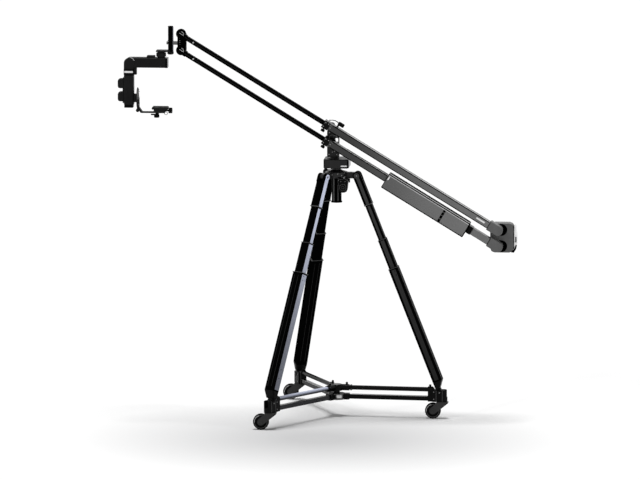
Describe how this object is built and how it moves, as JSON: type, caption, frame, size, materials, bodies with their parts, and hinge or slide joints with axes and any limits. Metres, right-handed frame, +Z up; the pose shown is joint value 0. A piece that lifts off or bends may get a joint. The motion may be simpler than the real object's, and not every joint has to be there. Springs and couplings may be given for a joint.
{
  "type": "camera jib crane",
  "caption": "Telescoping parallelogram camera boom on a panning mast, with a hanging remote head at one end, carried by a tripod with extending legs on a wheeled spreader dolly.",
  "frame": {"origin": "middle of the bounding box at floor level", "axes": "+Z up, -X towards the camera head end of the boom, +X towards the counter end, -Y towards the side the boom hangs on"},
  "size_m": [1.5352, 0.7486, 1.5038],
  "materials": {
    "black_gloss": "gloss",
    "black_satin": "satin",
    "dark_grey": "satin",
    "beam_grey": "satin",
    "link_grey": "satin",
    "cover_white": "gloss",
    "wheel_rubber": "matte",
    "steel": "satin",
    "black_plastic": "matte"
  },
  "bodies": {
    "dolly": {"hub_ring": "black_satin", "hub_cap": "black_gloss", "dolly_tube_rear": "black_gloss", "dolly_tube_front": "black_gloss", "dolly_tube_back": "black_gloss", "dolly_rail_rear": "black_satin", "dolly_rail_front": "black_satin", "dolly_rail_back": "black_satin", "corner_block_rear": "black_gloss", "corner_block_front": "black_gloss", "corner_block_back": "black_gloss"},
    "caster_fork_rear": {"caster_fork_rear": "dark_grey"},
    "caster_wheel_rear": {"caster_wheel_rear": "wheel_rubber"},
    "caster_fork_front": {"caster_fork_front": "dark_grey"},
    "caster_wheel_front": {"caster_wheel_front": "wheel_rubber"},
    "caster_fork_back": {"caster_fork_back": "dark_grey"},
    "caster_wheel_back": {"caster_wheel_back": "wheel_rubber"},
    "leg_low_rear": {"leg_foot_rear": "black_satin", "leg_outer_rear": "black_gloss"},
    "leg_middle_rear": {"leg_middle_rear": "black_gloss"},
    "leg_top_rear": {"leg_top_rear": "black_gloss"},
    "leg_low_front": {"leg_foot_front": "black_satin", "leg_outer_front": "black_gloss"},
    "leg_middle_front": {"leg_middle_front": "black_gloss"},
    "leg_top_front": {"leg_top_front": "black_gloss"},
    "leg_low_back": {"leg_foot_back": "black_satin", "leg_outer_back": "black_gloss"},
    "leg_middle_back": {"leg_middle_back": "black_gloss"},
    "leg_top_back": {"leg_top_back": "black_gloss"},
    "crown": {"crown": "black_satin", "centre_column": "black_satin", "control_box": "black_plastic"},
    "turret": {"pan_base": "dark_grey", "mast": "dark_grey"},
    "lower_beam": {"lower_beam": "beam_grey", "drive_housing": "beam_grey", "mast_pivot_lower": "black_satin", "rear_socket_lower": "link_grey"},
    "upper_beam": {"upper_beam": "beam_grey", "mast_pivot_upper": "black_satin", "rear_socket_upper": "link_grey"},
    "rear_link": {"rear_link": "link_grey", "rear_cover": "cover_white"},
    "lower_tube": {"lower_tube": "black_gloss"},
    "upper_tube": {"upper_tube": "black_gloss"},
    "front_link": {"front_link": "black_satin", "head_spigot": "steel"},
    "head_post": {"head_post": "black_satin", "head_foot": "black_satin"},
    "head_arm": {"head_arm": "black_satin", "head_drop": "black_satin", "head_drop_cap": "black_plastic", "head_side_cover": "black_plastic"},
    "tilt_bracket": {"tilt_bracket": "dark_grey", "camera_plate": "black_satin"},
    "plate_knob": {"plate_knob": "black_plastic"},
    "plate_lever": {"plate_lever": "black_plastic"},
    "lower_clamp_knob": {"lower_clamp_knob": "black_plastic"},
    "upper_clamp_knob": {"upper_clamp_knob": "black_plastic"},
    "top_lock": {"top_lock": "black_plastic"}
  },
  "joints": [
    {"name": "caster_swivel_rear", "type": "hinge", "parent": "dolly", "child": "caster_fork_rear", "pos_m": [0.47897, -0.04306, 0.065], "axis": [0, 0, 1], "continuous": true},
    {"name": "wheel_turn_rear", "type": "hinge", "parent": "caster_fork_rear", "child": "caster_wheel_rear", "pos_m": [0.44697, -0.04306, 0.0305], "axis": [0, 1, 0], "continuous": true},
    {"name": "caster_swivel_front", "type": "hinge", "parent": "dolly", "child": "caster_fork_front", "pos_m": [-0.15517, -0.35098, 0.065], "axis": [0, 0, 1], "continuous": true},
    {"name": "wheel_turn_front", "type": "hinge", "parent": "caster_fork_front", "child": "caster_wheel_front", "pos_m": [-0.18717, -0.35098, 0.0305], "axis": [0, 1, 0], "continuous": true},
    {"name": "caster_swivel_back", "type": "hinge", "parent": "dolly", "child": "caster_fork_back", "pos_m": [-0.10477, 0.35216, 0.065], "axis": [0, 0, 1], "continuous": true},
    {"name": "wheel_turn_back", "type": "hinge", "parent": "caster_fork_back", "child": "caster_wheel_back", "pos_m": [-0.13677, 0.35216, 0.0305], "axis": [0, 1, 0], "continuous": true},
    {"name": "tripod_height", "type": "slide", "parent": "dolly", "child": "crown", "axis": [0, 0, 1], "range_m": [-0.12, 0]},
    {"name": "leg_lean_rear", "type": "hinge", "parent": "dolly", "child": "leg_low_rear", "pos_m": [0.47398, -0.0427, 0.102], "axis": [0.0715, 0.9974, 0], "range_deg": [-4, 1]},
    {"name": "leg_slide_low_rear", "type": "slide", "parent": "leg_low_rear", "child": "leg_middle_rear", "axis": [-0.3691, 0.0265, 0.929], "range_m": [-0.062, 0.005]},
    {"name": "leg_slide_high_rear", "type": "slide", "parent": "leg_middle_rear", "child": "leg_top_rear", "axis": [-0.3691, 0.0265, 0.929], "range_m": [-0.062, 0.005]},
    {"name": "leg_lean_front", "type": "hinge", "parent": "dolly", "child": "leg_low_front", "pos_m": [-0.15237, -0.34684, 0.102], "axis": [0.8281, -0.5606, 0], "range_deg": [-4, 1]},
    {"name": "leg_slide_low_front", "type": "slide", "parent": "leg_low_front", "child": "leg_middle_front", "axis": [0.2075, 0.3064, 0.929], "range_m": [-0.062, 0.005]},
    {"name": "leg_slide_high_front", "type": "slide", "parent": "leg_middle_front", "child": "leg_top_front", "axis": [0.2075, 0.3064, 0.929], "range_m": [-0.062, 0.005]},
    {"name": "leg_lean_back", "type": "hinge", "parent": "dolly", "child": "leg_low_back", "pos_m": [-0.10258, 0.34767, 0.102], "axis": [-0.8996, -0.4368, 0], "range_deg": [-4, 1]},
    {"name": "leg_slide_low_back", "type": "slide", "parent": "leg_low_back", "child": "leg_middle_back", "axis": [0.1616, -0.3329, 0.929], "range_m": [-0.062, 0.005]},
    {"name": "leg_slide_high_back", "type": "slide", "parent": "leg_middle_back", "child": "leg_top_back", "axis": [0.1616, -0.3329, 0.929], "range_m": [-0.062, 0.005]},
    {"name": "boom_pan", "type": "hinge", "parent": "crown", "child": "turret", "pos_m": [0.07301, -0.01396, 0.966], "axis": [0, 0, 1], "continuous": true},
    {"name": "boom_tilt", "type": "hinge", "parent": "turret", "child": "lower_beam", "pos_m": [0.05381, -0.05446, 1.062], "axis": [0, 1, 0], "range_deg": [-63, 1.5]},
    {"name": "upper_tilt", "type": "hinge", "parent": "turret", "child": "upper_beam", "pos_m": [0.05381, -0.05446, 1.125], "axis": [0, 1, 0], "range_deg": [-64, 2.5]},
    {"name": "rear_link_level", "type": "hinge", "parent": "lower_beam", "child": "rear_link", "pos_m": [0.69559, -0.05446, 0.67102], "axis": [0, 1, 0], "range_deg": [-2.5, 64]},
    {"name": "boom_extend", "type": "slide", "parent": "lower_beam", "child": "lower_tube", "axis": [0.854, 0, -0.5203], "range_m": [0, 0.4]},
    {"name": "upper_extend", "type": "slide", "parent": "upper_beam", "child": "upper_tube", "axis": [0.854, 0, -0.5203], "range_m": [-0.005, 0.405]},
    {"name": "front_link_level", "type": "hinge", "parent": "lower_tube", "child": "front_link", "pos_m": [-0.52264, -0.05446, 1.41318], "axis": [0, 1, 0], "range_deg": [-2.5, 64]},
    {"name": "post_roll", "type": "hinge", "parent": "front_link", "child": "head_post", "pos_m": [-0.56524, -0.01936, 1.43878], "axis": [1, 0, 0], "range_deg": [-15, 15]},
    {"name": "head_pan", "type": "hinge", "parent": "head_post", "child": "head_arm", "pos_m": [-0.60134, -0.01936, 1.38178], "axis": [0, 0, 1], "range_deg": [-120, 120]},
    {"name": "head_tilt", "type": "hinge", "parent": "head_arm", "child": "tilt_bracket", "pos_m": [-0.70684, -0.01936, 1.22478], "axis": [1, 0, 0], "range_deg": [-90, 90]},
    {"name": "plate_knob_turn", "type": "hinge", "parent": "tilt_bracket", "child": "plate_knob", "pos_m": [-0.58534, -0.01936, 1.17778], "axis": [1, 0, 0], "continuous": true},
    {"name": "plate_lever_turn", "type": "hinge", "parent": "tilt_bracket", "child": "plate_lever", "pos_m": [-0.61734, -0.01936, 1.16828], "axis": [0, 0, 1], "range_deg": [-60, 60]},
    {"name": "lower_clamp_turn", "type": "hinge", "parent": "lower_beam", "child": "lower_clamp_knob", "pos_m": [0.02971, -0.05446, 1.06088], "axis": [0.5203, 0, 0.854], "continuous": true},
    {"name": "upper_clamp_turn", "type": "hinge", "parent": "upper_beam", "child": "upper_clamp_knob", "pos_m": [0.02971, -0.05446, 1.12388], "axis": [0.5203, 0, 0.854], "continuous": true},
    {"name": "top_lock_turn", "type": "hinge", "parent": "upper_beam", "child": "top_lock", "pos_m": [0.07877, -0.05446, 1.1256], "axis": [0.5203, 0, 0.854], "range_deg": [-90, 90]}
  ],
  "couplings": [
    {"joint": "leg_lean_rear", "follows": "tripod_height", "rad_per_m": 0.47261},
    {"joint": "leg_slide_low_rear", "follows": "tripod_height", "ratio": 0.4615},
    {"joint": "leg_slide_high_rear", "follows": "tripod_height", "ratio": 0.4615},
    {"joint": "leg_lean_front", "follows": "tripod_height", "rad_per_m": 0.47261},
    {"joint": "leg_slide_low_front", "follows": "tripod_height", "ratio": 0.4615},
    {"joint": "leg_slide_high_front", "follows": "tripod_height", "ratio": 0.4615},
    {"joint": "leg_lean_back", "follows": "tripod_height", "rad_per_m": 0.47261},
    {"joint": "leg_slide_low_back", "follows": "tripod_height", "ratio": 0.4615},
    {"joint": "leg_slide_high_back", "follows": "tripod_height", "ratio": 0.4615},
    {"joint": "upper_tilt", "follows": "boom_tilt", "ratio": 1},
    {"joint": "rear_link_level", "follows": "boom_tilt", "ratio": -1},
    {"joint": "front_link_level", "follows": "boom_tilt", "ratio": -1},
    {"joint": "upper_extend", "follows": "boom_extend", "ratio": 1}
  ]
}
